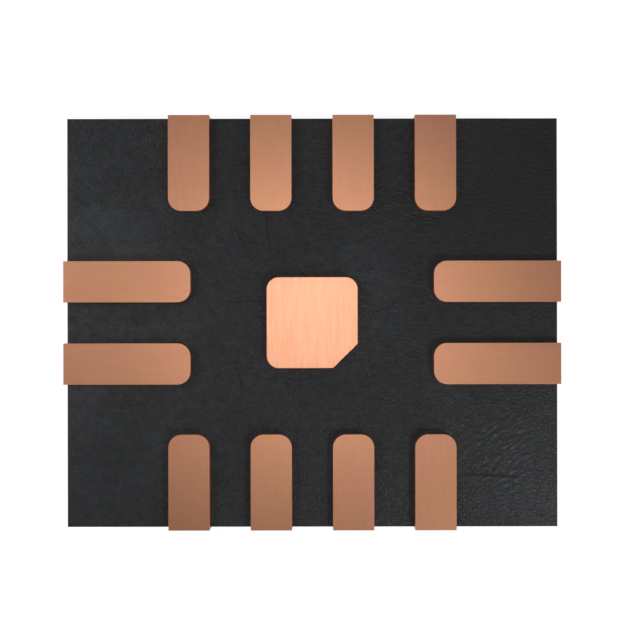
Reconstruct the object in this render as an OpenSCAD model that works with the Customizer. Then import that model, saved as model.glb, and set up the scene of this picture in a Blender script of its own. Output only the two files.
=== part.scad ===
// Quad flat no-lead integrated circuit with twelve terminals, lying on its flat marked face.
// The terminals face +Z, the long sides run along X, and the origin is the marked face's centre.
// Terminals are numbered clockwise as seen from above, starting beside the pad's cut corner.

/* [Moulding] */
// Length along X
body_x = 3; // [2.9:0.05:3.5]
// Width along Y
body_y = 2.5; // [2.4:0.05:3]
// Height from the marked face to the face with the terminals
body_z = 0.8; // [0.7:0.05:1.2]
// Width of the round index dimple, in the marked face's corner under terminal 1
index_d = 0.3; // [0.2:0.05:0.4]
// Depth of the index dimple
index_depth = 0.03; // [0.02:0.005:0.05]
// Distance from the long and short sides to the dimple's centre
index_inset = 0.35; // [0.25:0.05:0.5]

/* [Lead frame] */
// Thickness of the copper sheet
frame_t = 0.2; // [0.16:0.01:0.25]
// Depth etched away from the terminal side, which the moulding fills
etch_t = 0.1; // [0.08:0.01:0.12]
// Height of the exposed copper above the moulding
standoff = 0.05; // [0.02:0.01:0.06]

/* [Leads] */
// Distance between the centres of neighbouring leads
pitch = 0.5; // [0.42:0.01:0.54]
// Width of a lead
lead_w = 0.25; // [0.2:0.01:0.28]
// Exposed length from the sawn side, for the four leads of each long side
long_side_lead = 0.57; // [0.45:0.01:0.6]
// Exposed length from the sawn side, for the two leads of each short side
short_side_lead = 0.76; // [0.5:0.01:0.8]
// Radius of the two inner corners of an exposed face
lead_r = 0.08; // [0.04:0.01:0.09]
// Smear of copper that the saw leaves beyond the sides of the moulding
lead_proud = 0.012; // [0.004:0.002:0.03]
// Length of the half-etched tip hidden under the moulding
tip_len = 0.1; // [0.06:0.01:0.11]

/* [Die paddle] */
// Side of the square exposed pad
pad_side = 0.555; // [0.45:0.005:0.7]
// Radius of the pad's three round corners
pad_r = 0.075; // [0.03:0.005:0.1]
// Leg of the pad's cut corner
pad_cut = 0.15; // [0.11:0.01:0.2]
// Length along X of the half-etched rim around the pad
paddle_x = 1; // [0.9:0.01:1.05]
// Width along Y of the half-etched rim around the pad
paddle_y = 0.84; // [0.74:0.01:0.88]
// Corner radius of the rim
paddle_r = 0.05; // [0.02:0.01:0.1]
// Width of the two tie bars that run to the short sides
tie_w = 0.09; // [0.06:0.01:0.1]

/* [Die] */
// Length of the chip along X
die_x = 0.78; // [0.7:0.01:0.84]
// Width of the chip along Y
die_y = 0.62; // [0.56:0.01:0.68]
// Thickness of the chip
die_t = 0.2; // [0.1:0.01:0.22]
// Thickness of the adhesive under the chip
attach_t = 0.02; // [0.01:0.005:0.03]
// Width of the adhesive squeezed out around the chip
attach_edge = 0.02; // [0.005:0.005:0.025]
// Side of a square bond pad
bond_pad = 0.07; // [0.062:0.002:0.09]
// Thickness of a bond pad
bond_pad_t = 0.003; // [0.002:0.001:0.005]
// Distance between the centres of neighbouring bond pads
bond_pitch = 0.19; // [0.12:0.01:0.2]
// Distance from the chip's edge to the centres of its bond pads
bond_inset = 0.05; // [0.046:0.002:0.06]

/* [Bond wires] */
// Diameter of the wire
wire_d = 0.025; // [0.018:0.001:0.03]
// Diameter of the squashed ball on the bond pad
ball_d = 0.055; // [0.045:0.005:0.06]
// Height of the squashed ball
ball_h = 0.014; // [0.01:0.002:0.018]
// Height of the loop's axis above the bond pad
loop_h = 0.11; // [0.09:0.01:0.14]
// Radius of the loop's two bends
bend_r = 0.035; // [0.03:0.005:0.045]
// Share of the span that the loop stays level before it slopes down
level_share = 0.3; // [0.2:0.05:0.4]
// Width of the stitch that ends the wire
stitch_w = 0.055; // [0.045:0.005:0.07]
// Thickness of the stitch
stitch_t = 0.008; // [0.005:0.001:0.012]
// Distance from the end of the lead's tip to the centre of the stitch
stitch_inset = 0.06; // [0.05:0.01:0.1]

/* [Hidden] */
$fn = 48;

// Number of leads on the bottom, left, top and right sides, in the order of their numbers
side_leads = [4, 2, 4, 2];
lead_count = 12;
two_digits = function (n) str(n < 10 ? "0" : "", n);
LEADS = [for (n = [1:lead_count]) str("lead_", two_digits(n))];
WIRES = [for (n = [1:lead_count]) str("bond_wire_", two_digits(n))];

// Heights of the copper's inner face, the chip's far face and its bond pads
inner_z = body_z + standoff - frame_t;
die_z = inner_z - attach_t - die_t;
bond_z = die_z - bond_pad_t;

// Radius of the sphere that leaves the index dimple
index_r = (index_d ^ 2 / 4 + index_depth ^ 2) / (2 * index_depth);

// Which side lead n is on, from 0 for the bottom side clockwise to 3 for the right side
function side_of(n) = n <= 4 ? 0 : n <= 6 ? 1 : n <= 10 ? 2 : 3;
function first_on(side) = [1, 5, 7, 11][side];
function is_long(side) = side % 2 == 0;

// Place of lead n along its side, in steps from the side's middle
function step_of(n) = first_on(side_of(n)) - n + (side_leads[side_of(n)] - 1) / 2;

// Distances from the centre to a side, to the inner end of its exposed faces and to its bond pads
function side_at(side) = (is_long(side) ? body_y : body_x) / 2;
function exposed_len(side) = is_long(side) ? long_side_lead : short_side_lead;
function foot_end(side) = side_at(side) - exposed_len(side);
function stitch_at(side) = foot_end(side) - tip_len + stitch_inset;
function bond_at(side) = (is_long(side) ? die_y : die_x) / 2 - bond_inset;

// Turns a side so that it lies along X and faces -Y
module on_side(side) {
    rotate([0, 0, -90 * side])
        children();
}

module rounded_square(x, y, r) {
    square([x, y - 2 * r], center = true);
    square([x - 2 * r, y], center = true);
    for (sx = [-1, 1], sy = [-1, 1])
        translate([sx * (x / 2 - r), sy * (y / 2 - r)])
            circle(r);
}

// Face of a lead with its outer end at y = 0 and two round corners at its inner end
module lead_face(len) {
    translate([-lead_w / 2, 0])
        square([lead_w, len - lead_r]);
    translate([-lead_w / 2 + lead_r, 0])
        square([lead_w - 2 * lead_r, len]);
    for (sx = [-1, 1])
        translate([sx * (lead_w / 2 - lead_r), len - lead_r])
            circle(lead_r);
}

// Exposed pad, with its cut corner beside lead 1
module pad_face() {
    half = pad_side / 2;
    difference() {
        rounded_square(pad_side, pad_side, pad_r);
        polygon([[half - pad_cut, -half], [half, -half - pad_cut], [half + pad_cut, -half],
            [half, -half + pad_cut]]);
    }
}

// Lead n: a foot of the sheet's full thickness, and a tip etched down from the terminal side
module lead(n) {
    side = side_of(n);
    foot_len = exposed_len(side) + lead_proud;
    color("#d08a63")
        on_side(side)
            translate([step_of(n) * pitch, -side_at(side) - lead_proud, inner_z]) {
                linear_extrude(frame_t)
                    lead_face(foot_len);
                linear_extrude(frame_t - etch_t)
                    lead_face(foot_len + tip_len);
            }
}

// Paddle under the chip: the exposed pad, the etched rim that locks in the moulding, the tie bars
module die_paddle() {
    color("#e9a98a")
        translate([0, 0, inner_z]) {
            linear_extrude(frame_t)
                pad_face();
            linear_extrude(frame_t - etch_t)
                rounded_square(paddle_x, paddle_y, paddle_r);
            translate([-body_x / 2, -tie_w / 2, 0])
                cube([body_x, tie_w, frame_t - etch_t]);
        }
}

module die_attach() {
    color("#b9bcc0")
        translate([0, 0, inner_z - attach_t])
            linear_extrude(attach_t)
                rounded_square(die_x + 2 * attach_edge, die_y + 2 * attach_edge, 2 * attach_edge);
}

// Chip, with a thin metal bond pad for each lead on the face turned away from the terminals
module silicon_die() {
    color("#5b6068")
        translate([-die_x / 2, -die_y / 2, die_z])
            cube([die_x, die_y, die_t]);
    color("#c9ccd1")
        for (n = [1:lead_count])
            on_side(side_of(n))
                translate([step_of(n) * bond_pitch - bond_pad / 2,
                    -bond_at(side_of(n)) - bond_pad / 2, bond_z])
                    cube([bond_pad, bond_pad, 2 * bond_pad_t]);
}

// Bend that leaves the origin along +Z and turns towards +X, with its children at its far end
module wire_bend(turn) {
    translate([bend_r, 0, 0])
        rotate([-90, 0, 0])
            rotate([0, 0, 180])
                rotate_extrude(angle = turn)
                    translate([bend_r, 0])
                        circle(d = wire_d);
    translate([bend_r, 0, 0])
        rotate([0, turn, 0])
            translate([-bend_r, 0, 0])
                children();
}

// Straight run along +Z, with its children at its far end
module wire_run(len) {
    cylinder(h = len, d = wire_d);
    translate([0, 0, len])
        children();
}

// Wire from a ball bond at the origin to a stitch at [span, 0, -drop], looping up towards +Z
module wire_loop(span, drop) {
    level_end = level_share * span;
    slope_run = [span - level_end, loop_h - bend_r + drop];
    slope_len = sqrt(norm(slope_run) ^ 2 - bend_r ^ 2);
    slope = 90 - acos(bend_r / norm(slope_run)) + atan2(slope_run[1], slope_run[0]);

    cylinder(h = ball_h, d = ball_d);
    translate([0, 0, ball_h])
        cylinder(h = ball_h, d1 = 0.8 * ball_d, d2 = wire_d);
    translate([span, 0, -drop])
        cylinder(h = stitch_t, d = stitch_w);

    // The run down to the lead is cut off flush with it, inside the flattened stitch
    difference() {
        translate([0, 0, ball_h / 2])
            wire_run(loop_h - bend_r - ball_h / 2)
                wire_bend(90)
                    wire_run(level_end - bend_r)
                        wire_bend(slope)
                            cylinder(h = slope_len + wire_d, d = wire_d);
        translate([0, -wire_d, -drop - 2 * wire_d])
            cube([2 * span, 2 * wire_d, 2 * wire_d]);
    }
}

// Wire of lead n, from its bond pad on the chip to the inner face of the lead's tip
module bond_wire(n) {
    side = side_of(n);
    start = [step_of(n) * bond_pitch, -bond_at(side)];
    reach = [step_of(n) * pitch, -stitch_at(side)] - start;
    color("#e8b84a")
        on_side(side)
            translate([start[0], start[1], bond_z])
                rotate([0, 0, atan2(reach[1], reach[0])])
                    mirror([0, 0, 1])
                        wire_loop(norm(reach), inner_z - bond_z);
}

// Moulding, with the index dimple and a cavity in the exact shape of everything that it holds
module mould_body() {
    color("#2b2d2e")
        difference() {
            translate([-body_x / 2, -body_y / 2, 0])
                cube([body_x, body_y, body_z]);
            translate([body_x / 2 - index_inset, index_inset - body_y / 2, index_depth - index_r])
                sphere(index_r);
            die_paddle();
            die_attach();
            silicon_die();
            for (n = [1:lead_count]) {
                lead(n);
                bond_wire(n);
            }
        }
}

mould_body();
die_paddle();
die_attach();
silicon_die();
for (n = [1:lead_count]) {
    lead(n);
    bond_wire(n);
}
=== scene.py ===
"""Quad flat no-lead integrated circuit, lying on its marked face with its copper terminals up."""

import math

import bmesh
import bpy
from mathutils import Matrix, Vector


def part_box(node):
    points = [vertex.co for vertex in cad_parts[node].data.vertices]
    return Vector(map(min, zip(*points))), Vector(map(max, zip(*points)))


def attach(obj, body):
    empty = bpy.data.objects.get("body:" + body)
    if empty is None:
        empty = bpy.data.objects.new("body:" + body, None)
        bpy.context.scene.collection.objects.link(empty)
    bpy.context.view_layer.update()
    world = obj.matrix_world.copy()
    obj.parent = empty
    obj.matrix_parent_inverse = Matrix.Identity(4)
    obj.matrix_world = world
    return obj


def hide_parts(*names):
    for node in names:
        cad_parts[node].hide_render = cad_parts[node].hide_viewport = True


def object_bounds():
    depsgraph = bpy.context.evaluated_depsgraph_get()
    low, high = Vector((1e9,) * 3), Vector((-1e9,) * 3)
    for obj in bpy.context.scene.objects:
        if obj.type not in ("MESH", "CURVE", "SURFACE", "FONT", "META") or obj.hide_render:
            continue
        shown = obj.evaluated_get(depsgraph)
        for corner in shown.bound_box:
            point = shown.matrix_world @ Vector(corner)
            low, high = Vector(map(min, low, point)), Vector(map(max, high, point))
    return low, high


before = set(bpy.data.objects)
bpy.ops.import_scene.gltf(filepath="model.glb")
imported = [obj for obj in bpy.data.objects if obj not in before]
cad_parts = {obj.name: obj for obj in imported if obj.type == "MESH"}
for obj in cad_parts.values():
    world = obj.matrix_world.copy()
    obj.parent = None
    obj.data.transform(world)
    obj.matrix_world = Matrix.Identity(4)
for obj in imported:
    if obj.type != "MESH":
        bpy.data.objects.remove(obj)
cad_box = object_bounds()

# Moulding.
# A block of black epoxy filled with silica, pressed around the lead frame and then sawn free.
# Its face keeps the fine leathery ripple of the film that sealed the mould.
MM = 0.001
BODY_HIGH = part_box("mould_body")[1]
FACE_HEIGHT = BODY_HIGH[2] / MM
MOULD_BLACK = (0.0035, 0.0046, 0.0060, 1)
MOULD_GREY = (0.0165, 0.0190, 0.0220, 1)
# Pale colour of the painted sheen on the face
MOULD_PAINTED_SHEEN = (0.0360, 0.0398, 0.0446, 1)

# Roughness in the hollows and on the crests, and what the saw and the marks add to it
HOLLOW_ROUGHNESS = 0.61
CREST_ROUGHNESS = 0.39
SAWN_ROUGHER = 0.14
MARK_ROUGHER = 0.18

# Heights of the face's ripple and of the saw lines, then the others as shares of the ripple's
RIPPLE_HEIGHT = 0.0034 * MM
SAW_LINE_HEIGHT = 0.0030 * MM
WRINKLE_HEIGHT = 1.7
FOLD_HEIGHT = 0.7
SIDE_GRAIN_HEIGHT = 0.7
PIT_DEPTH = 0.4
SCRATCH_DEPTH = 0.15

# Cycles a millimetre of each noise, or of the saw lines along X, Y and Z
RIPPLE_SCALE = 76
PEBBLE_SCALE = 60
WRINKLE_SCALE = 40
PIT_SCALE = 34
SWELL_SCALE = 1.8
MOTTLE_SCALE = 90
SMUDGE_SCALE = 19
CLOUD_SCALE = 2.2
SAW_LINE_SCALES = (1.4, 1.4, 52.0)
SAW_BAND_SHARE = 0.23

# Where most of a noise lies, and most of a mix of two noises
NOISE_RANGE = (0.3, 0.7)
MIX_RANGE = (0.38, 0.62)

# Tilt from X in radians, and the share of its scale that a drawn-out noise keeps along it
RIPPLE_TILT = 0.20
RIPPLE_STRETCH = 0.36
WRINKLE_TILT = -0.50
WRINKLE_STRETCH = 0.5

# Weights of ripple and pebble, first on the plain face and then in the rippled patches
RIPPLE_WEIGHTS = (0.5, 1.8)
PEBBLE_WEIGHTS = (2.4, 1.1)

# Patches of the face: centre, core and reach in millimetres and, in the last three, strength
RIPPLE_PATCHES = [
    ((0.35, 1.20), 0.6, 1.6),
    ((1.40, -1.25), 0.6, 0.9),
]
WRINKLE_PATCH = ((1.10, -0.78), 0.28, 0.50)
RELIEF_PATCHES = [
    ((1.70, 0.20), 0.56, 1.4, 0.60),
    ((-0.45, -0.05), 0.28, 0.7, 1.4),
    ((0.45, 1.05), 0.28, 0.7, 1.4),
    ((0.45, -0.60), 0.32, 0.8, 0.75),
    ((-1.40, -0.45), 0.40, 1.0, 0.75),
]
# Painted sheen, where lamp light on the face is painted as a paler colour
PAINTED_SHEEN_PATCHES = [
    ((-1.75, 0.15), 0.2, 1.6, 1.0),
    ((0.22, 0.12), 0.2, 0.5, 0.45),
    ((1.50, -1.30), 0.2, 1.1, 0.40),
]
# Painted shade, where the face is painted darker toward one corner
PAINTED_SHADE_PATCH = ((1.80, 0.90), 0.3, 1.7, 0.2)

# Scratches of handling, each with its two ends and its width in millimetres
SCRATCHES = [
    ((0.930, -0.924), (1.254, -0.942), 0.011),
    ((-0.474, 0.585), (-0.371, 0.381), 0.011),
    ((-0.284, 0.677), (-0.263, 0.483), 0.011),
    ((-0.239, 0.462), (-0.055, 0.300), 0.006),
    ((-0.463, -0.273), (-0.423, -0.415), 0.010),
    ((0.364, -0.262), (0.303, -0.385), 0.009),
    ((0.372, 0.056), (0.517, 0.125), 0.008),
    ((-0.524, 0.125), (-0.290, 0.136), 0.007),
]

# Folds that stand up beside them, in the same way
FOLDS = [
    ((0.920, -0.940), (1.250, -0.958), 0.014),
]


def new_group(name, inputs, outputs):
    """Empty shader group, from its inputs' names, kinds and values and its outputs' names and kinds."""
    group = bpy.data.node_groups.new(name, "ShaderNodeTree")
    for label, kind, value in inputs:
        socket = group.interface.new_socket(label, in_out="INPUT", socket_type=kind)
        if value is not None:
            socket.default_value = value
    for label, kind in outputs:
        group.interface.new_socket(label, in_out="OUTPUT", socket_type=kind)
    return group, group.nodes.new("NodeGroupInput"), group.nodes.new("NodeGroupOutput")


def feed(tree, value, socket):
    """Links an output socket to an input, or sets the input to a plain value."""
    if isinstance(value, bpy.types.NodeSocket):
        tree.links.new(value, socket)
    else:
        socket.default_value = value


def maths(tree, operation, *values, clamp=False):
    """Result of a maths node over numbers or sockets."""
    node = tree.nodes.new("ShaderNodeMath")
    node.operation = operation
    node.use_clamp = clamp
    for socket, value in zip(node.inputs, values):
        feed(tree, value, socket)
    return node.outputs["Value"]


def vector_maths(tree, operation, *values):
    """Result of a maths node over vectors or sockets: a number for a dot product or a distance."""
    node = tree.nodes.new("ShaderNodeVectorMath")
    node.operation = operation
    for socket, value in zip(node.inputs, values):
        feed(tree, value, socket)
    return node.outputs["Value" if operation in ("DOT_PRODUCT", "DISTANCE") else "Vector"]


def times(tree, first, second):
    """Product of two numbers or sockets."""
    return maths(tree, "MULTIPLY", first, second)


def added(tree, base, value, weight):
    """Base with a weighted value added to it."""
    return maths(tree, "MULTIPLY_ADD", value, weight, base)


def graded(tree, share, low, high):
    """Straight run from low to high as a share goes from 0 to 1."""
    return maths(tree, "MULTIPLY_ADD", share, high - low, low)


def weighed(tree, *parts):
    """Sum of values, each times its weight."""
    total = 0.0
    for value, weight in parts:
        total = added(tree, total, value, weight)
    return total


def strongest(tree, masks):
    """Highest of several masks."""
    highest = 0.0
    for mask in masks:
        highest = maths(tree, "MAXIMUM", mask, highest)
    return highest


def noise(tree, vector, scale, detail=2.0, roughness=0.5, distortion=0.0):
    """Smooth noise from 0 to 1, with a scale in cycles for each unit of its vector."""
    node = tree.nodes.new("ShaderNodeTexNoise")
    feed(tree, vector, node.inputs["Vector"])
    node.inputs["Scale"].default_value = scale
    node.inputs["Detail"].default_value = detail
    node.inputs["Roughness"].default_value = roughness
    node.inputs["Distortion"].default_value = distortion
    return node.outputs["Fac"]


def between(tree, value, low, high, to_low=0.0, to_high=1.0):
    """Smooth step of a value from one range to another."""
    node = tree.nodes.new("ShaderNodeMapRange")
    node.interpolation_type = "SMOOTHSTEP"
    node.inputs["From Min"].default_value = low
    node.inputs["From Max"].default_value = high
    node.inputs["To Min"].default_value = to_low
    node.inputs["To Max"].default_value = to_high
    feed(tree, value, node.inputs["Value"])
    return node.outputs["Result"]


def blend_colours(tree, factor, first, second):
    """Mix of two colours, or of two heights or other numbers."""
    node = tree.nodes.new("ShaderNodeMix")
    node.data_type = "RGBA"
    feed(tree, factor, node.inputs[0])
    feed(tree, first, node.inputs[6])
    feed(tree, second, node.inputs[7])
    return node.outputs[2]


def new_material(name):
    """Material with its node tree, its Principled shader and the surface's place in millimetres."""
    material = bpy.data.materials.new(name)
    material.use_nodes = True
    tree = material.node_tree
    shader = tree.nodes["Principled BSDF"]
    metres = tree.nodes.new("ShaderNodeTexCoord").outputs["Object"]
    place = vector_maths(tree, "MULTIPLY", metres, (1 / MM, 1 / MM, 1 / MM))
    return material, tree, shader, place


def add_bump(tree, shader, height, distance):
    """Bump whose height of 1 stands the given distance above the surface."""
    bump = tree.nodes.new("ShaderNodeBump")
    bump.inputs["Distance"].default_value = distance
    feed(tree, height, bump.inputs["Height"])
    feed(tree, bump.outputs["Normal"], shader.inputs["Normal"])


def line_group():
    """Thin straight line between two points, as a mask from 0 to 1."""
    group, given, result = new_group(
        "thin_line",
        [("Place", "NodeSocketVector", None), ("Start", "NodeSocketVector", None),
         ("End", "NodeSocketVector", None), ("Width", "NodeSocketFloat", 0.008)],
        [("Mask", "NodeSocketFloat")],
    )
    along = vector_maths(group, "SUBTRACT", given.outputs["End"], given.outputs["Start"])
    offset = vector_maths(group, "SUBTRACT", given.outputs["Place"], given.outputs["Start"])
    length_squared = vector_maths(group, "DOT_PRODUCT", along, along)
    run = vector_maths(group, "DOT_PRODUCT", offset, along)
    share = maths(group, "DIVIDE", run, length_squared, clamp=True)
    nearest = vector_maths(group, "MULTIPLY", along, share)
    gap = vector_maths(group, "DISTANCE", offset, nearest)
    gap_share = maths(group, "DIVIDE", gap, given.outputs["Width"])
    feed(group, between(group, gap_share, 0.0, 1.0, 1.0, 0.0), result.inputs["Mask"])
    return group


THIN_LINE = line_group()


def line_mask(tree, place, lines):
    """Mask of thin lines on the moulding's terminal side."""
    masks = []
    for start, end, width in lines:
        node = tree.nodes.new("ShaderNodeGroup")
        node.node_tree = THIN_LINE
        feed(tree, place, node.inputs["Place"])
        node.inputs["Start"].default_value = (*start, FACE_HEIGHT)
        node.inputs["End"].default_value = (*end, FACE_HEIGHT)
        node.inputs["Width"].default_value = width
        masks.append(node.outputs["Mask"])
    return strongest(tree, masks)


def sawn_group():
    """Saw marks: a mask of the upright faces, and the long level lines and broad bands on them."""
    group, given, result = new_group(
        "sawn_lines",
        [("Place", "NodeSocketVector", None), ("Facing", "NodeSocketVector", None),
         ("Lines", "NodeSocketVector", SAW_LINE_SCALES)],
        [("Side", "NodeSocketFloat"), ("Height", "NodeSocketFloat"), ("Band", "NodeSocketFloat")],
    )
    upward = vector_maths(group, "DOT_PRODUCT", given.outputs["Facing"], (0, 0, 1))
    level = maths(group, "ABSOLUTE", upward)
    feed(group, between(group, level, 0.3, 0.6, 1.0, 0.0), result.inputs["Side"])
    stretched = vector_maths(group, "MULTIPLY", given.outputs["Place"], given.outputs["Lines"])
    feed(group, noise(group, stretched, 1.0, detail=2.5, roughness=0.6), result.inputs["Height"])
    feed(group, noise(group, stretched, SAW_BAND_SHARE, detail=1.0), result.inputs["Band"])
    return group


SAWN = sawn_group()


def sawn_faces(tree, place):
    """Saw marks of a material, fed with its surface's place and true facing."""
    sawn = tree.nodes.new("ShaderNodeGroup")
    sawn.node_tree = SAWN
    facing = tree.nodes.new("ShaderNodeNewGeometry").outputs["True Normal"]
    feed(tree, place, sawn.inputs["Place"])
    feed(tree, facing, sawn.inputs["Facing"])
    return sawn.outputs


def drawn_out(tree, place, tilt, stretch):
    """Place for a noise that is drawn out along a line tilted from X."""
    turn = tree.nodes.new("ShaderNodeVectorRotate")
    turn.inputs["Angle"].default_value = tilt
    feed(tree, place, turn.inputs["Vector"])
    return vector_maths(tree, "MULTIPLY", turn.outputs["Vector"], (stretch, 1.0, 1.0))


def around(tree, place, centre, core, reach, inside=1.0, outside=0.0, stray=0.0):
    """Value that is inside up to core from a point of the face, and outside beyond reach.

    A stray distance that varies over the face makes the patch less round.
    """
    away = vector_maths(tree, "DISTANCE", place, (*centre, FACE_HEIGHT))
    return between(tree, maths(tree, "ADD", away, stray), core, reach, inside, outside)


def mould_material():
    """Moulding compound with its relief, saw lines, silica mottle, painted sheen and shade, and wear."""
    material, tree, shader, place = new_material("mould_compound")

    # Fine ripple drawn out sideways in some patches, with a rounder pebble over the rest
    ripple_place = drawn_out(tree, place, RIPPLE_TILT, RIPPLE_STRETCH)
    ripple = noise(tree, ripple_place, RIPPLE_SCALE, detail=1.5, distortion=0.7)
    pebble = noise(tree, place, PEBBLE_SCALE, detail=2.5, roughness=0.55, distortion=0.3)
    swell = noise(tree, place, SWELL_SCALE, detail=1.0)
    stray = times(tree, swell, 0.6)
    rippled = strongest(tree, [around(tree, place, *patch, stray=stray) for patch in RIPPLE_PATCHES])
    relief = times(tree, ripple, graded(tree, rippled, *RIPPLE_WEIGHTS))
    relief = added(tree, relief, pebble, graded(tree, rippled, *PEBBLE_WEIGHTS))

    # Some patches have a stronger relief, and some a weaker one
    for patch in RELIEF_PATCHES:
        relief = times(tree, relief, around(tree, place, *patch, outside=1.0))

    # Coarse wrinkles near one corner, where the ripple is faint
    wrinkle_place = drawn_out(tree, place, WRINKLE_TILT, WRINKLE_STRETCH)
    wrinkle = noise(tree, wrinkle_place, WRINKLE_SCALE, detail=0.5, distortion=0.3)
    wrinkled = around(tree, place, *WRINKLE_PATCH, stray=times(tree, swell, 0.3))
    relief = times(tree, relief, graded(tree, wrinkled, 1.0, 0.3))
    relief = added(tree, relief, times(tree, wrinkle, wrinkled), WRINKLE_HEIGHT)

    # Small pits left by air, then the scratches and folds
    pit = between(tree, noise(tree, place, PIT_SCALE, detail=0.0), 0.17, 0.25, 0.6, 0.0)
    scratched = line_mask(tree, place, SCRATCHES)
    relief = added(tree, relief, pit, -PIT_DEPTH)
    relief = added(tree, relief, scratched, -SCRATCH_DEPTH)
    relief = added(tree, relief, line_mask(tree, place, FOLDS), FOLD_HEIGHT)

    # The saw leaves long level lines on the four sides
    sawn = sawn_faces(tree, place)
    side = sawn["Side"]
    saw_share = SAW_LINE_HEIGHT / RIPPLE_HEIGHT
    cut = weighed(tree, (sawn["Height"], saw_share), (pebble, SIDE_GRAIN_HEIGHT))
    add_bump(tree, shader, blend_colours(tree, side, relief, cut), RIPPLE_HEIGHT)

    # Silica shows as a slight mottle, which follows the relief in part; near one corner painted shade
    # darkens it
    skin = weighed(tree, (pebble, 0.5), (ripple, 0.5))
    mottle = noise(tree, place, MOTTLE_SCALE, detail=2.0, roughness=0.7)
    smudge = noise(tree, place, SMUDGE_SCALE, detail=1.5)
    cloud = noise(tree, place, CLOUD_SCALE, detail=2.0)
    tone = weighed(tree, (cloud, 0.15), (mottle, 0.3), (smudge, 0.25), (skin, 0.3))
    tone = between(tree, tone, 0.40, 0.60)
    streak = times(tree, side, maths(tree, "SUBTRACT", sawn["Height"], 0.5))
    tone = added(tree, tone, streak, 2.0)
    tone = times(tree, tone, around(tree, place, *PAINTED_SHADE_PATCH, outside=1.0))
    colour = blend_colours(tree, tone, MOULD_BLACK, MOULD_GREY)

    # Painted sheen: the skin is painted paler, strongest near one short side, and the sheen wears off in
    # clouds
    painted_sheen = strongest(tree, [around(tree, place, *patch) for patch in PAINTED_SHEEN_PATCHES])
    painted_sheen = times(tree, painted_sheen, between(tree, cloud, 0.3, 0.65, 0.35, 1.0))
    painted_sheen = times(tree, painted_sheen, graded(tree, tone, 0.55, 1.45))
    colour = blend_colours(tree, painted_sheen, colour, MOULD_PAINTED_SHEEN)

    # Scratches and pits get painted shade that makes them blacker, and they are duller, as are the sawn
    # sides
    marks_with_painted_shade = maths(tree, "MAXIMUM", scratched, pit)
    colour = blend_colours(tree, times(tree, marks_with_painted_shade, 0.9), colour, MOULD_BLACK)
    feed(tree, colour, shader.inputs["Base Color"])
    roughness = between(tree, skin, *MIX_RANGE, HOLLOW_ROUGHNESS, CREST_ROUGHNESS)
    roughness = added(tree, roughness, side, SAWN_ROUGHER)
    roughness = added(tree, roughness, marks_with_painted_shade, MARK_ROUGHER)
    feed(tree, roughness, shader.inputs["Roughness"])
    return material


def dress_node(name, material):
    """Gives every slot of a CAD node a material."""
    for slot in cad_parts[name].material_slots:
        slot.material = material


dress_node("mould_body", mould_material())

# Leads.
# Twelve strips etched from one copper sheet, brushed along their length and left bare.
# Each has a full-thickness foot that shows, and a thinner tip that the moulding locks in.
LEAD_COUNT = 12
LEAD_CORNER = 0.08 * MM
LEAD_TIP = 0.1 * MM
ETCH_DEPTH = 0.1 * MM
EDGE_ROUND = 0.0035 * MM
ARC_STEPS = 16
MERGE_GAP = 0.00001 * MM

# Turn in radians at which an edge gets rounded, and in degrees at which its shading breaks
SHARP_TURN = 0.8
SMOOTH_DEGREES = 30

# Colours, roughness and relief of the brushed face and of the cut sides
COPPER_ROSE = (0.930, 0.412, 0.250, 1)
COPPER_STRAW = (0.925, 0.436, 0.236, 1)
COPPER_WORN = (0.965, 0.475, 0.300, 1)
COPPER_CUT = (0.560, 0.225, 0.125, 1)
COPPER_BURR = (0.820, 0.370, 0.225, 1)
LEAD_ROUGHNESS = 0.355
LEAD_POLISH = 0.4
SMEAR_SPREAD = 0.02
CUT_ROUGHNESS = (0.38, 0.56)
BRUSH_HEIGHT = 0.00012 * MM
CUT_HEIGHT = 0.0012 * MM

# Cycles a millimetre of the brushing, across its lines and along them
BRUSH_SCALES = (58, 6.5)
STREAK_SCALES = (30, 3.2)
HUE_SCALE = 2.4


def arc(centre, radius, start, end, steps=ARC_STEPS):
    """Points of a circle's arc, with its angles in degrees."""
    turn = [math.radians(start + (end - start) * i / steps) for i in range(steps + 1)]
    return [(centre[0] + radius * math.cos(a), centre[1] + radius * math.sin(a)) for a in turn]


def ring(bm, outline, height):
    """Corners of an outline at a height."""
    return [bm.verts.new((x, y, height)) for x, y in outline]


def walls(bm, lower, upper):
    """Upright faces between two rings."""
    for i, corner in enumerate(lower):
        j = (i + 1) % len(lower)
        bm.faces.new((corner, lower[j], upper[j], upper[i]))


def past_sides(point):
    """Whether a point stands out of the moulding's sawn sides."""
    return abs(point.x) > BODY_HIGH[0] or abs(point.y) > BODY_HIGH[1]


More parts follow.
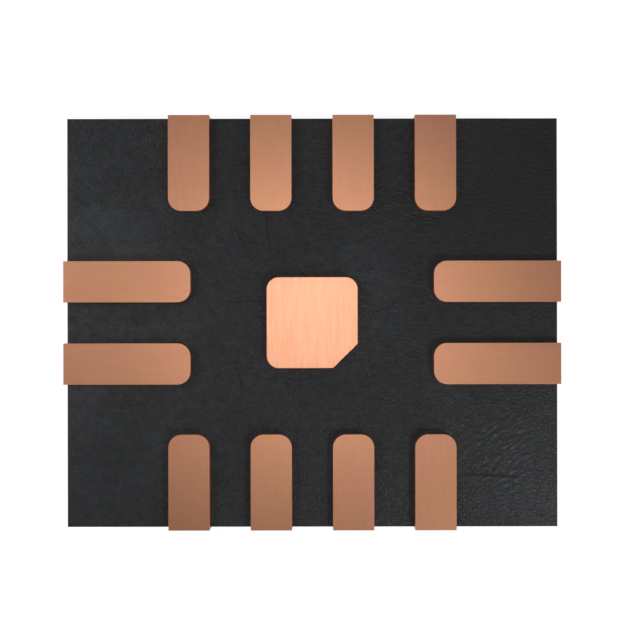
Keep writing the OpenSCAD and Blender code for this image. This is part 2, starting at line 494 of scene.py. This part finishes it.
def stepped_plate(name, wide, narrow, heights):
    """Plate with a wide outline up to its etched step and a narrow one from there to its face."""
    low, step, high = heights
    bm = bmesh.new()
    wide_low, wide_high = ring(bm, wide, low), ring(bm, wide, step)
    narrow_low, narrow_high = ring(bm, narrow, step), ring(bm, narrow, high)
    walls(bm, wide_low, wide_high)
    walls(bm, narrow_low, narrow_high)
    bm.faces.new(list(reversed(wide_low)))
    bm.faces.new(narrow_high)
    bmesh.ops.remove_doubles(bm, verts=wide_high + narrow_low, dist=MERGE_GAP)
    rim = [edge for edge in bm.edges if edge.is_boundary]
    bmesh.ops.triangle_fill(bm, edges=rim, use_beauty=True, normal=(0, 0, 1))
    bmesh.ops.recalc_face_normals(bm, faces=bm.faces)

    # Only the edges that stay outside the moulding are rounded
    weights = bm.edges.layers.float.new("bevel_weight_edge")
    for edge in bm.edges:
        first, second = (corner.co for corner in edge.verts)
        on_face = abs(first.z - high) < EDGE_ROUND and abs(second.z - high) < EDGE_ROUND
        outside = past_sides(first) or past_sides(second)
        sharp = edge.calc_face_angle(0.0) > SHARP_TURN
        edge[weights] = 1.0 if sharp and (on_face or outside) else 0.0

    mesh = bpy.data.meshes.new(name)
    bm.to_mesh(mesh)
    bm.free()
    mesh.shade_smooth()
    mesh.set_sharp_from_angle(angle=math.radians(SMOOTH_DEGREES))
    plate = bpy.data.objects.new(name, mesh)
    bpy.context.collection.objects.link(plate)
    edge_round = plate.modifiers.new("edge_round", "BEVEL")
    edge_round.limit_method = "WEIGHT"
    edge_round.width = EDGE_ROUND
    edge_round.segments = 2
    edge_round.harden_normals = True
    return plate


def lead_outline(width, length):
    """Strip from y = 0 with two round corners at its far end, anticlockwise."""
    half = width / 2
    inner = half - LEAD_CORNER
    end = length - LEAD_CORNER
    return [(-half, 0), (half, 0), *arc((inner, end), LEAD_CORNER, 0, 90),
            *arc((-inner, end), LEAD_CORNER, 90, 180)]


def turned(outline, quarter_turns, origin):
    """Outline turned by quarter turns and moved to an origin."""
    placed = []
    for x, y in outline:
        for _ in range(quarter_turns):
            x, y = -y, x
        placed.append((origin[0] + x, origin[1] + y))
    return placed


def brushed_group():
    """Brushing of a metal face: fine lines as a height, slow streaks, and a drift in its hue."""
    group, given, result = new_group(
        "brushed_lines",
        [("Place", "NodeSocketVector", None), ("Lines", "NodeSocketVector", None),
         ("Streaks", "NodeSocketVector", None)],
        [("Height", "NodeSocketFloat"), ("Streak", "NodeSocketFloat"), ("Hue", "NodeSocketFloat")],
    )
    place = given.outputs["Place"]
    line_place = vector_maths(group, "MULTIPLY", place, given.outputs["Lines"])
    streak_place = vector_maths(group, "MULTIPLY", place, given.outputs["Streaks"])
    feed(group, noise(group, line_place, 1.0, detail=2.5, roughness=0.6), result.inputs["Height"])
    feed(group, noise(group, streak_place, 1.0, detail=3.0, roughness=0.6), result.inputs["Streak"])
    feed(group, noise(group, place, HUE_SCALE, detail=2.0, roughness=0.6), result.inputs["Hue"])
    return group


BRUSHED = brushed_group()


def copper_material(name, lines_along_x, roughest, polish):
    """Bare copper with brushed faces and duller cut sides, brushed along X or along Y."""
    material, tree, shader, place = new_material(name)
    brushed = tree.nodes.new("ShaderNodeGroup")
    brushed.node_tree = BRUSHED
    feed(tree, place, brushed.inputs["Place"])
    for label, (across, along) in (("Lines", BRUSH_SCALES), ("Streaks", STREAK_SCALES)):
        scales = (along, across, across) if lines_along_x else (across, along, across)
        brushed.inputs[label].default_value = scales
    line, streak, drift = (brushed.outputs[label] for label in ("Height", "Streak", "Hue"))
    sawn = sawn_faces(tree, place)

    # The brushed face drifts from straw to rose, and is paler where it is rubbed
    hue = between(tree, weighed(tree, (drift, 0.6), (streak, 0.4)), *MIX_RANGE)
    rubbed = between(tree, weighed(tree, (line, 0.7), (streak, 0.3)), *MIX_RANGE, 0.0, polish)
    warm = blend_colours(tree, hue, COPPER_STRAW, COPPER_ROSE)
    face = blend_colours(tree, rubbed, warm, COPPER_WORN)

    # The cut side is darker, with pale burrs along the saw's lines
    burr = between(tree, weighed(tree, (sawn["Band"], 0.4), (sawn["Height"], 0.6)), 0.36, 0.64)
    dull = blend_colours(tree, burr, COPPER_CUT, COPPER_BURR)
    feed(tree, blend_colours(tree, sawn["Side"], face, dull), shader.inputs["Base Color"])
    shader.inputs["Metallic"].default_value = 1.0
    smear = between(tree, streak, *NOISE_RANGE, roughest - SMEAR_SPREAD, roughest)
    cut = between(tree, sawn["Height"], *NOISE_RANGE, *CUT_ROUGHNESS)
    feed(tree, blend_colours(tree, sawn["Side"], smear, cut), shader.inputs["Roughness"])
    saw_lines = times(tree, sawn["Height"], CUT_HEIGHT / BRUSH_HEIGHT)
    add_bump(tree, shader, blend_colours(tree, sawn["Side"], line, saw_lines), BRUSH_HEIGHT)
    return material


COPPER_ALONG_Y = copper_material("copper_brushed_lengthwise_y", False, LEAD_ROUGHNESS, LEAD_POLISH)
COPPER_ALONG_X = copper_material("copper_brushed_lengthwise_x", True, LEAD_ROUGHNESS, LEAD_POLISH)


def make_lead(name):
    """One lead, as long and as wide as its CAD node, brushed along its length."""
    low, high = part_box(name)
    size = [high[i] - low[i] for i in range(3)]
    centre = [(high[i] + low[i]) / 2 for i in range(3)]
    along_x = size[0] > size[1]
    if along_x:
        whole_length, width = size[0], size[1]
        quarter_turns = 1 if centre[0] > 0 else 3
        sawn_end = (high[0] if centre[0] > 0 else low[0], centre[1])
    else:
        whole_length, width = size[1], size[0]
        quarter_turns = 2 if centre[1] > 0 else 0
        sawn_end = (centre[0], high[1] if centre[1] > 0 else low[1])

    # The whole outline gets a point on each side where the foot's round corners begin
    half = width / 2
    seam = whole_length - LEAD_TIP - LEAD_CORNER
    foot = lead_outline(width, whole_length - LEAD_TIP)
    start_left, start_right, *tip = lead_outline(width, whole_length)
    whole = [start_left, start_right, (half, seam), *tip, (-half, seam)]
    whole = turned(whole, quarter_turns, sawn_end)
    foot = turned(foot, quarter_turns, sawn_end)
    lead = stepped_plate(name + "_copper", whole, foot, (low[2], high[2] - ETCH_DEPTH, high[2]))
    lead.data.materials.append(COPPER_ALONG_X if along_x else COPPER_ALONG_Y)
    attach(lead, "root")
    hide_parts(name)


for number in range(1, LEAD_COUNT + 1):
    make_lead(f"lead_{number:02d}")

# Die paddle.
# Its square face is the exposed pad, with one corner cut to mark terminal 1.
# The etched rim around it and the two tie bars, sawn off at the short sides, are in the moulding.
PAD_SIDE = 0.555 * MM
PAD_CORNER = 0.075 * MM
PAD_CUT = 0.15 * MM
PAD_ROUGHNESS = 0.30
PAD_POLISH = 1.0
RIM_LENGTH = 1.0 * MM
RIM_CORNER = 0.05 * MM
RIM_ARC_STEPS = 6
TIE_WIDTH = 0.09 * MM


def make_paddle():
    """Paddle with its cut-cornered pad, on an etched rim that carries the two tie bars."""
    low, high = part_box("die_paddle")
    half = PAD_SIDE / 2
    inner = half - PAD_CORNER
    pad = [(half - PAD_CUT, -half), (half, PAD_CUT - half),
           *arc((inner, inner), PAD_CORNER, 0, 90), *arc((-inner, inner), PAD_CORNER, 90, 180),
           *arc((-inner, -inner), PAD_CORNER, 180, 270)]
    rim_x, rim_y, bar = RIM_LENGTH / 2, high[1], TIE_WIDTH / 2
    corner_x, corner_y = rim_x - RIM_CORNER, rim_y - RIM_CORNER
    rim = [(rim_x, -bar), (high[0], -bar), (high[0], bar), (rim_x, bar),
           *arc((corner_x, corner_y), RIM_CORNER, 0, 90, RIM_ARC_STEPS),
           *arc((-corner_x, corner_y), RIM_CORNER, 90, 180, RIM_ARC_STEPS),
           (-rim_x, bar), (low[0], bar), (low[0], -bar), (-rim_x, -bar),
           *arc((-corner_x, -corner_y), RIM_CORNER, 180, 270, RIM_ARC_STEPS),
           *arc((corner_x, -corner_y), RIM_CORNER, 270, 360, RIM_ARC_STEPS)]
    paddle = stepped_plate("die_paddle_copper", rim, pad, (low[2], high[2] - ETCH_DEPTH, high[2]))
    paddle.data.materials.append(copper_material("copper_brushed_pad", False, PAD_ROUGHNESS, PAD_POLISH))
    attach(paddle, "root")
    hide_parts("die_paddle")


make_paddle()

# Adhesive, chip and bond wires.
# Silver-filled epoxy holds the polished chip to the paddle, and gold wires join its pads to the leads.
# All of it is sealed in the moulding.
SILVER_EPOXY = (0.42, 0.43, 0.44, 1)
SILVER_FLAKE = (0.62, 0.63, 0.64, 1)
FLAKE_SCALE = 90
FLAKE_HEIGHT = 0.002 * MM
FLAKE_METAL = 0.8
EPOXY_ROUGHNESS = (0.65, 0.4)
SILICON = (0.090, 0.098, 0.118, 1)
SILICON_TRACK = (0.165, 0.150, 0.175, 1)
SILICON_METAL = 0.6
SILICON_ROUGHNESS = (0.12, 0.2)
HAZE_SCALE = 4
TRACK_SCALE = 18
TRACK_GAP = 0.03
TRACK_HEIGHT = 0.0004 * MM
GOLD = (0.900, 0.610, 0.180, 1)
GOLD_DULL = (0.800, 0.520, 0.150, 1)
GOLD_ROUGHNESS = (0.18, 0.28)
DRAWN_SCALE = 45
DRAWN_HEIGHT = 0.0003 * MM


def adhesive_material():
    """Grey epoxy with silver flakes in it."""
    material, tree, shader, place = new_material("silver_epoxy")
    flakes = noise(tree, place, FLAKE_SCALE, detail=3.0, roughness=0.7)
    tone = between(tree, flakes, 0.45, 0.65)
    feed(tree, blend_colours(tree, tone, SILVER_EPOXY, SILVER_FLAKE), shader.inputs["Base Color"])
    feed(tree, between(tree, flakes, *NOISE_RANGE, *EPOXY_ROUGHNESS), shader.inputs["Roughness"])
    feed(tree, between(tree, flakes, 0.5, 0.6, 0.0, FLAKE_METAL), shader.inputs["Metallic"])
    add_bump(tree, shader, flakes, FLAKE_HEIGHT)
    return material


def chip_material():
    """Polished silicon with plain blocks of circuit on it."""
    material, tree, shader, place = new_material("polished_silicon")
    blocks = tree.nodes.new("ShaderNodeTexBrick")
    feed(tree, place, blocks.inputs["Vector"])
    blocks.inputs["Scale"].default_value = TRACK_SCALE
    blocks.inputs["Color1"].default_value = SILICON
    blocks.inputs["Color2"].default_value = SILICON_TRACK
    blocks.inputs["Mortar"].default_value = SILICON
    blocks.inputs["Mortar Size"].default_value = TRACK_GAP
    feed(tree, blocks.outputs["Color"], shader.inputs["Base Color"])
    haze = noise(tree, place, HAZE_SCALE, detail=2.0)
    feed(tree, between(tree, haze, *NOISE_RANGE, *SILICON_ROUGHNESS), shader.inputs["Roughness"])
    shader.inputs["Metallic"].default_value = SILICON_METAL
    add_bump(tree, shader, blocks.outputs["Fac"], TRACK_HEIGHT)
    return material


def wire_material():
    """Drawn gold, bright with slightly duller stretches."""
    material, tree, shader, place = new_material("gold_wire")
    drawn = noise(tree, place, DRAWN_SCALE, detail=2.0)
    tone = between(tree, drawn, *NOISE_RANGE)
    feed(tree, blend_colours(tree, tone, GOLD, GOLD_DULL), shader.inputs["Base Color"])
    feed(tree, between(tree, drawn, *NOISE_RANGE, *GOLD_ROUGHNESS), shader.inputs["Roughness"])
    shader.inputs["Metallic"].default_value = 1.0
    add_bump(tree, shader, drawn, DRAWN_HEIGHT)
    return material


dress_node("die_attach", adhesive_material())
dress_node("silicon_die", chip_material())
GOLD_WIRE = wire_material()
for number in range(1, LEAD_COUNT + 1):
    dress_node(f"bond_wire_{number:02d}", GOLD_WIRE)

# Studio.
# The part lies on a white table that runs to the horizon, under small soft lamps.
# The table and the wall behind it are white to the eye and in gloss, and the table has a painted shadow
# close to the part.
WHITE = (1, 1, 1, 1)
FLOOR_HALF = 400 * MM
TABLE_WHITE = 0.93
TABLE_SEEN = (0.3, 0.3, 0.3, 1)
TABLE_PAPER = (0.8, 0.8, 0.8, 1)
# Painted shadow on the table near the part: its white, its reach, and the openness over which it fades
PAINTED_SHADOW_WHITE = 0.50
PAINTED_SHADOW_REACH = 0.36 * MM
PAINTED_SHADOW_OPENNESS = (0.45, 0.95)
WALL_TOP = 0.10
CEILING_START = 0.85
CEILING_GREY = 0.07
ROOM_LIGHT = 0.25

# Lamps that aim at the middle of the terminals: name, place and size in millimetres, and brightness
LAMPS = [
    ("overhead", (0.0, 0.3, 11.75), (9.0, 8.0), 0.40),
    ("overhead_core", (-0.05, 0.4, 11.6), (3.6, 3.4), 1.62),
    ("right_front", (5.7, -5.7, 8.3), (3.0, 3.0), 12.2),
    ("left_side", (-8.0, 1.8, 8.8), (6.0, 6.0), 2.03),
]


def seen_or_mirrored(tree, path):
    """1 for rays of the eye, of gloss and of glass, and 0 for all others."""
    rays = ("Is Camera Ray", "Is Glossy Ray", "Is Transmission Ray")
    return strongest(tree, [path.outputs[ray] for ray in rays])


def floor_material():
    """White table with a painted shadow where the part meets it."""
    material = bpy.data.materials.new("white_table")
    material.use_nodes = True
    tree = material.node_tree
    tree.nodes.remove(tree.nodes["Principled BSDF"])
    paper = tree.nodes.new("ShaderNodeBsdfDiffuse")
    white = tree.nodes.new("ShaderNodeEmission")
    both = tree.nodes.new("ShaderNodeAddShader")
    painted_shadow_openness = tree.nodes.new("ShaderNodeAmbientOcclusion")
    seen = seen_or_mirrored(tree, tree.nodes.new("ShaderNodeLightPath"))
    feed(tree, blend_colours(tree, seen, TABLE_PAPER, TABLE_SEEN), paper.inputs["Color"])
    painted_shadow_openness.inputs["Distance"].default_value = PAINTED_SHADOW_REACH
    # The table's white is painted darker where the part hides the room from it, as a painted contact
    # shadow
    level = between(tree, painted_shadow_openness.outputs["AO"], *PAINTED_SHADOW_OPENNESS, PAINTED_SHADOW_WHITE, TABLE_WHITE)
    feed(tree, times(tree, seen, level), white.inputs["Strength"])
    feed(tree, paper.outputs["BSDF"], both.inputs[0])
    feed(tree, white.outputs["Emission"], both.inputs[1])
    feed(tree, both.outputs["Shader"], tree.nodes["Material Output"].inputs["Surface"])
    return material


def make_floor():
    """Table under the part, level with its marked face."""
    bm = bmesh.new()
    corners = [(x * FLOOR_HALF, y * FLOOR_HALF) for x, y in ((-1, -1), (1, -1), (1, 1), (-1, 1))]
    bm.faces.new(ring(bm, corners, cad_box[0][2]))
    mesh = bpy.data.meshes.new("table")
    bm.to_mesh(mesh)
    bm.free()
    mesh.materials.append(floor_material())
    floor = bpy.data.objects.new("table", mesh)
    bpy.context.collection.objects.link(floor)


def make_world():
    """White wall seen all round, a dim ceiling in gloss, and even room light."""
    world = bpy.data.worlds.new("studio")
    bpy.context.scene.world = world
    world.use_nodes = True
    tree = world.node_tree
    room = tree.nodes["Background"]
    room.inputs["Color"].default_value = WHITE
    room.inputs["Strength"].default_value = ROOM_LIGHT
    wall = tree.nodes.new("ShaderNodeBackground")
    wall.inputs["Color"].default_value = WHITE
    direction = tree.nodes.new("ShaderNodeTexCoord").outputs["Generated"]
    apart = tree.nodes.new("ShaderNodeSeparateXYZ")
    feed(tree, direction, apart.inputs["Vector"])
    ceiling = between(tree, apart.outputs["Z"], WALL_TOP, CEILING_START, 1.0, CEILING_GREY)
    path = tree.nodes.new("ShaderNodeLightPath")
    level = maths(tree, "MAXIMUM", ceiling, path.outputs["Is Camera Ray"])
    feed(tree, level, wall.inputs["Strength"])
    mix = tree.nodes.new("ShaderNodeMixShader")
    feed(tree, seen_or_mirrored(tree, path), mix.inputs["Fac"])
    feed(tree, room.outputs["Background"], mix.inputs[1])
    feed(tree, wall.outputs["Background"], mix.inputs[2])
    feed(tree, mix.outputs["Shader"], tree.nodes["World Output"].inputs["Surface"])


def add_lamp(name, place, size, brightness):
    """Soft round lamp. Its brightness is the white that a mirror would show."""
    data = bpy.data.lights.new(name, "AREA")
    data.shape = "ELLIPSE"
    data.size, data.size_y = size[0] * MM, size[1] * MM
    area = math.pi * data.size * data.size_y / 4
    data.energy = brightness * math.pi * area
    lamp = bpy.data.objects.new(name, data)
    bpy.context.collection.objects.link(lamp)
    aim = Vector((0, 0, FACE_HEIGHT)) - Vector(place)
    lamp.location = Vector(place) * MM
    lamp.rotation_euler = aim.to_track_quat("-Z", "Y").to_euler()
    lamp.visible_camera = False


make_floor()
make_world()
for lamp in LAMPS:
    add_lamp(*lamp)

# Camera.
# It looks straight down on the terminals, as the photograph does, with the same slight offset and roll.
IMAGE_SIZE = 640
BODY_CENTRE_PIXEL = (312.3, 322.6)
PIXELS_PER_MM = 163.2
LENS = 50.0
SENSOR = 36.0
ROLL_DEGREES = -0.09
NEAREST = 0.01 * MM
FARTHEST = 2000 * MM


def make_camera():
    """Camera that frames the moulding's face as the photograph does."""
    data = bpy.data.cameras.new("camera")
    data.lens = LENS
    data.sensor_width = SENSOR
    data.clip_start = NEAREST
    data.clip_end = FARTHEST
    camera = bpy.data.objects.new("camera", data)
    bpy.context.collection.objects.link(camera)
    away = IMAGE_SIZE / PIXELS_PER_MM * LENS / SENSOR * MM
    middle = IMAGE_SIZE / 2
    right = (middle - BODY_CENTRE_PIXEL[0]) / PIXELS_PER_MM * MM
    up = (BODY_CENTRE_PIXEL[1] - middle) / PIXELS_PER_MM * MM
    camera.location = (right, up, BODY_HIGH[2] + away)
    camera.rotation_euler = (0, 0, math.radians(ROLL_DEGREES))
    bpy.context.scene.camera = camera


make_camera()
bpy.context.scene.view_settings.view_transform = "Standard"

bpy.context.view_layer.update()
